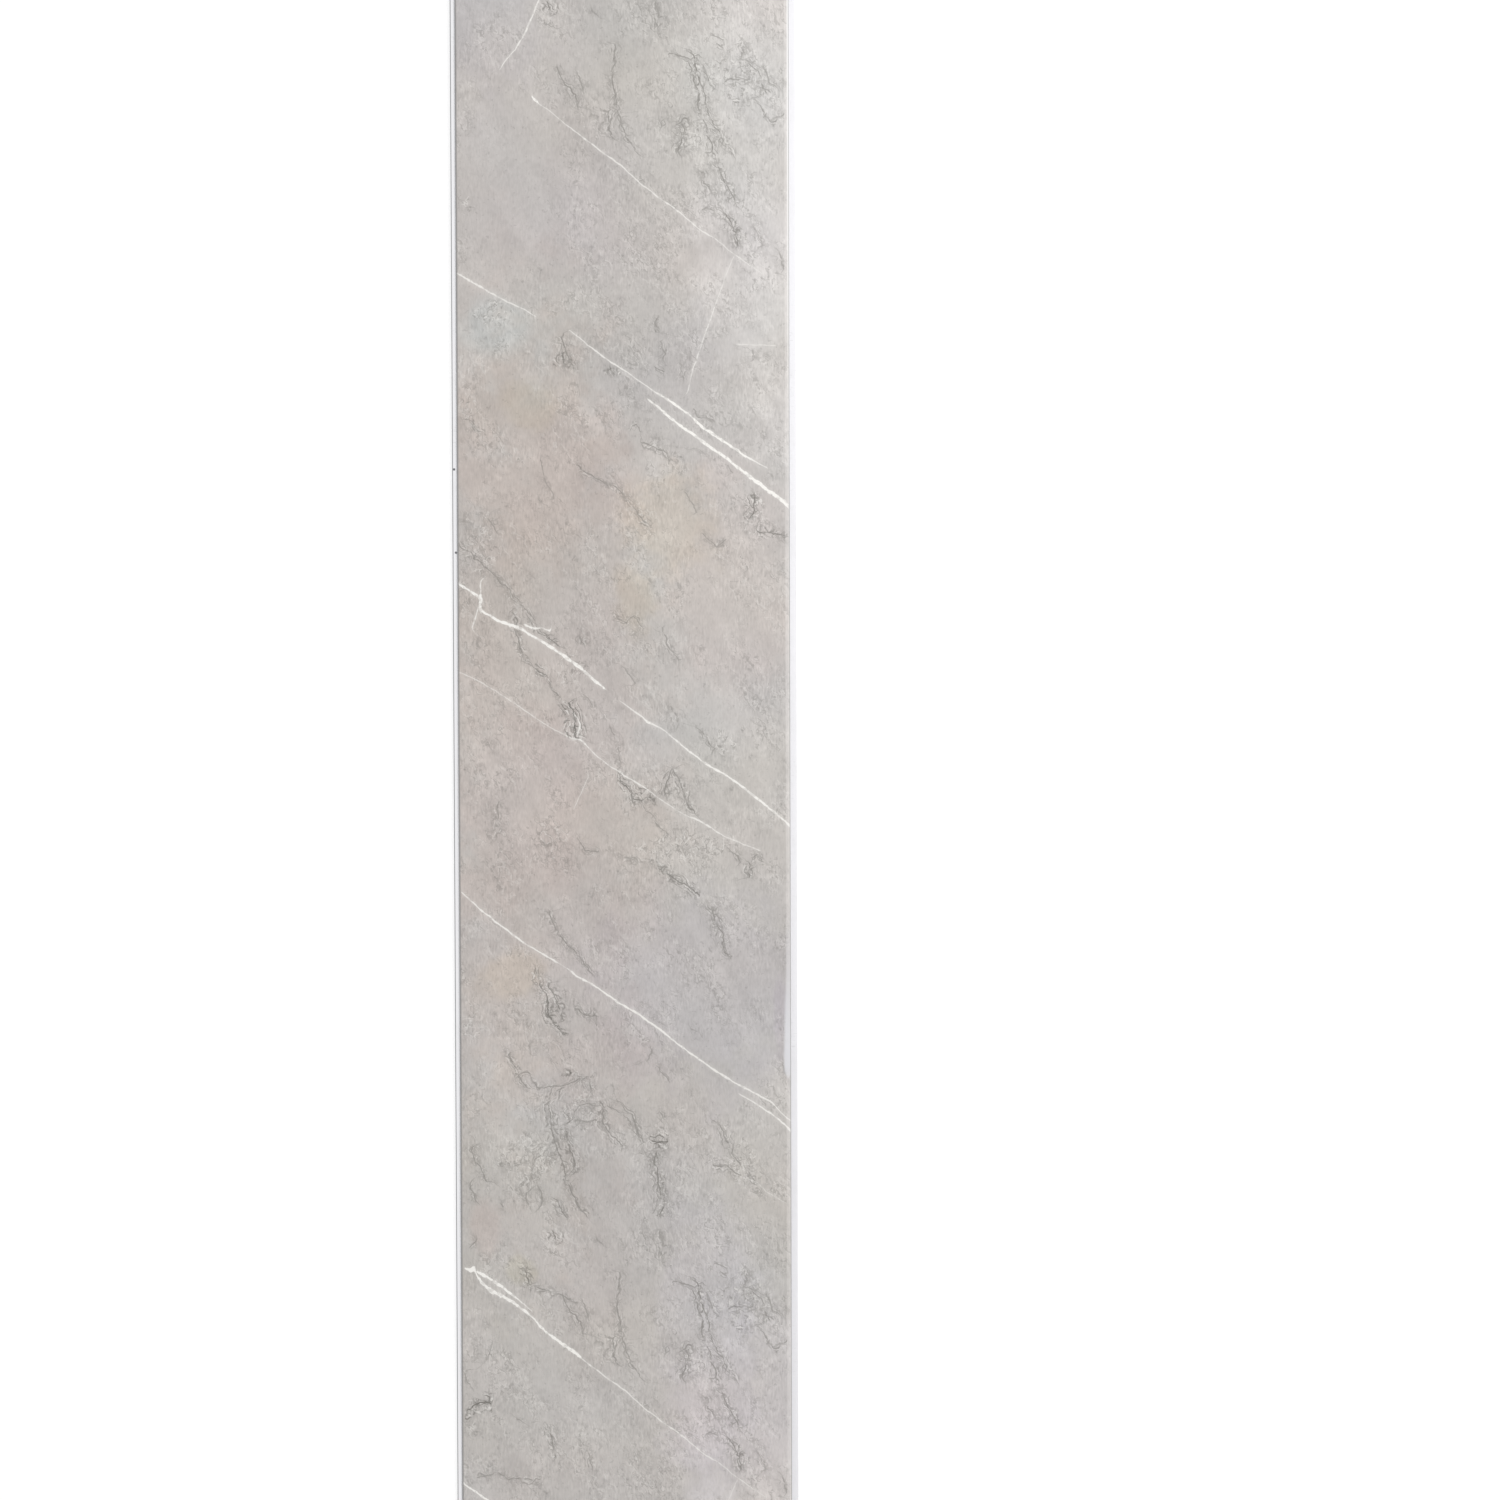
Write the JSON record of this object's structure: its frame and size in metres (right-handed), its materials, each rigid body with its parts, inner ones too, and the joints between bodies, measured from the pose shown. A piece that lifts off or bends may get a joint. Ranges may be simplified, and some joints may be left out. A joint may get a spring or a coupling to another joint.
{
  "type": "shower wall panel",
  "caption": "Hollow-core tongue-and-groove shower wall panel with a grey marble-effect face, lying flat on its back.",
  "frame": {"origin": "on the back plane, at mid length and at the middle of the decorated face's width", "axes": "+X across the panel from the tongue edge to the groove edge, +Y along its length, +Z out of the decorated face"},
  "size_m": [0.2592, 2.4, 0.008],
  "materials": {
    "printed_pvc": "white rigid PVC with a satin grey marble print on the front face"
  },
  "bodies": {
    "root": {"panel": "printed_pvc"}
  },
  "joints": []
}
